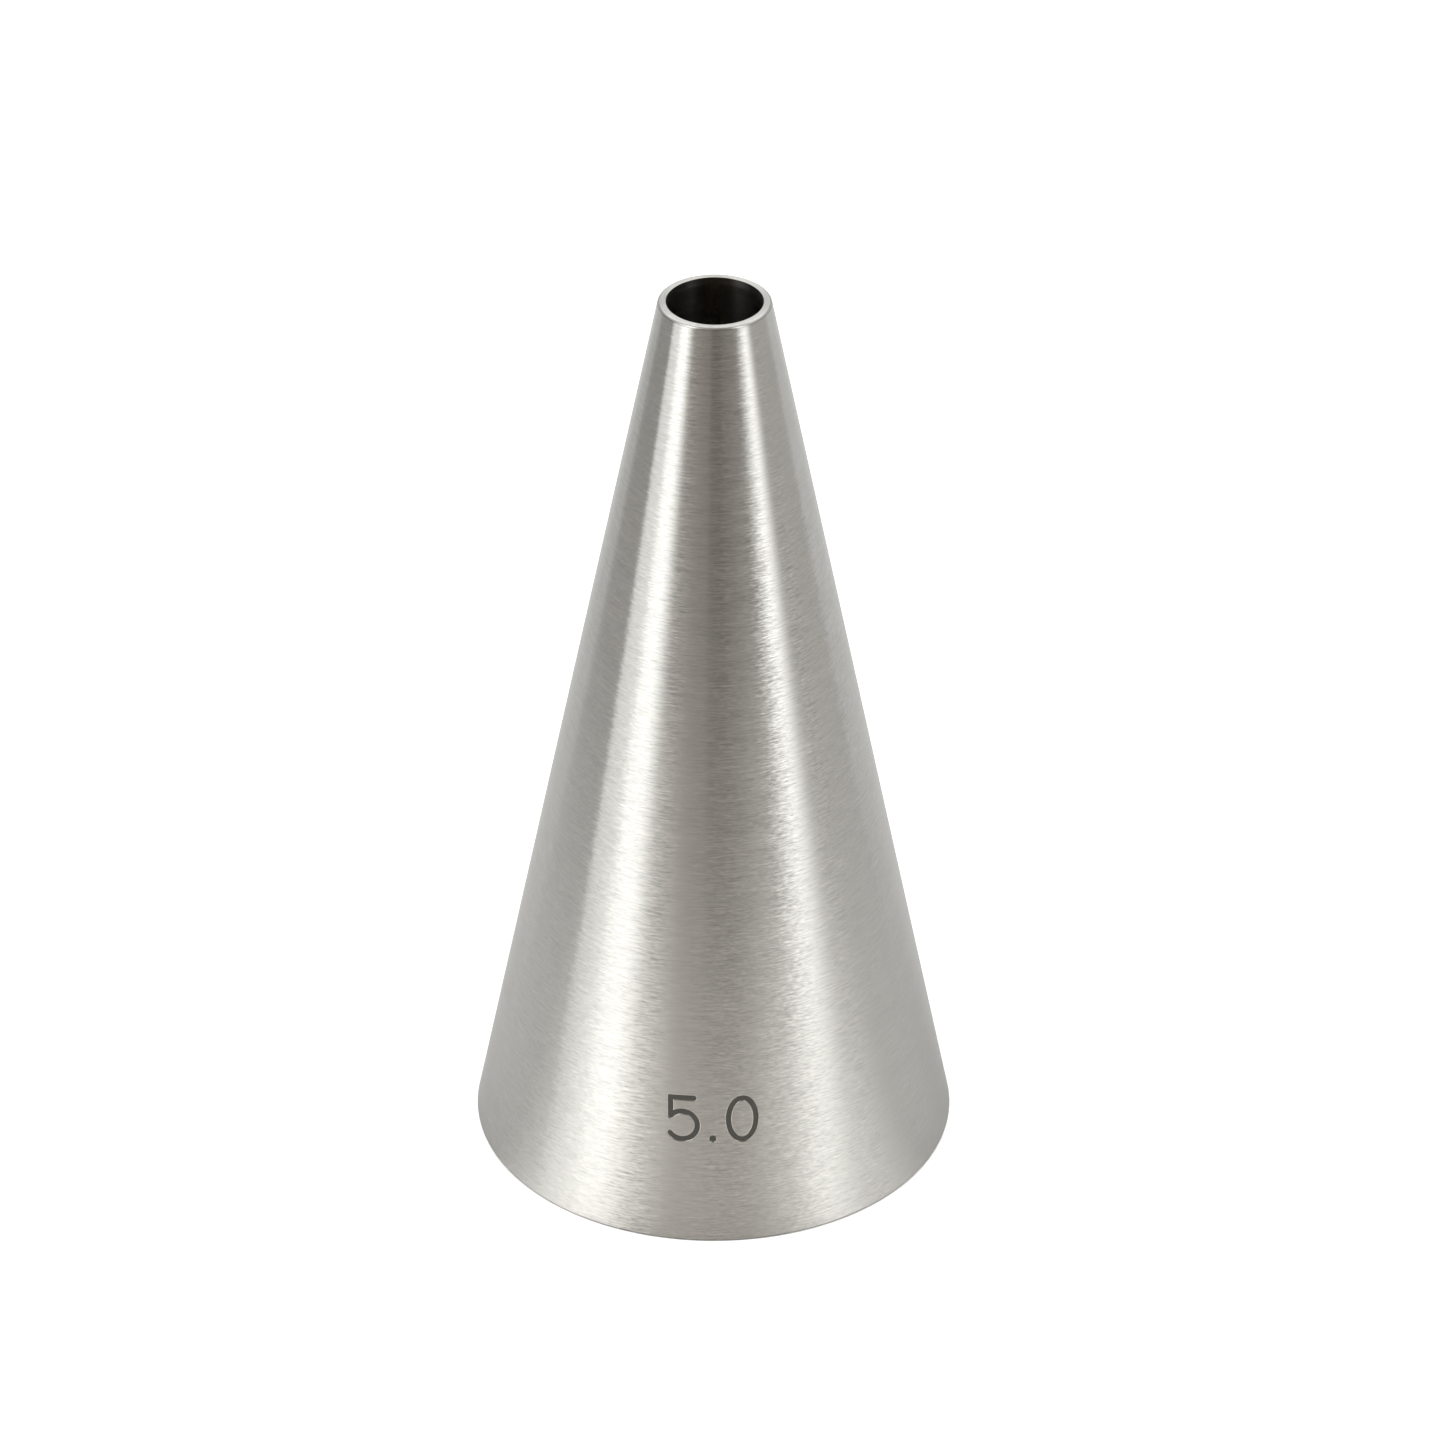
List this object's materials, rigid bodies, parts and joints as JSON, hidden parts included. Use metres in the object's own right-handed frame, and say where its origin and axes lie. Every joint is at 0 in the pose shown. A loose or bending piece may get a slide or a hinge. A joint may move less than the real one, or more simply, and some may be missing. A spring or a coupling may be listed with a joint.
{
  "type": "piping nozzle",
  "caption": "Plain round piping nozzle: a thin steel cone, open at both ends, with a weld line down the back and the outlet's diameter engraved near the wide rim.",
  "frame": {"origin": "centre of the wide rim, on the plane it stands on", "axes": "+Z along the nozzle's axis towards its outlet; the engraved numeral faces -Y and the weld is at +Y"},
  "size_m": [0.026, 0.026, 0.05],
  "materials": {
    "rolled_sheet": "fine brushing round the cone",
    "weld_bead": "ground flush outside, as welded inside",
    "mark_film": "dark matt oxide"
  },
  "bodies": {
    "root": {"nozzle_cone": "rolled_sheet", "seam_weld": "weld_bead", "size_mark": "mark_film"}
  },
  "joints": []
}
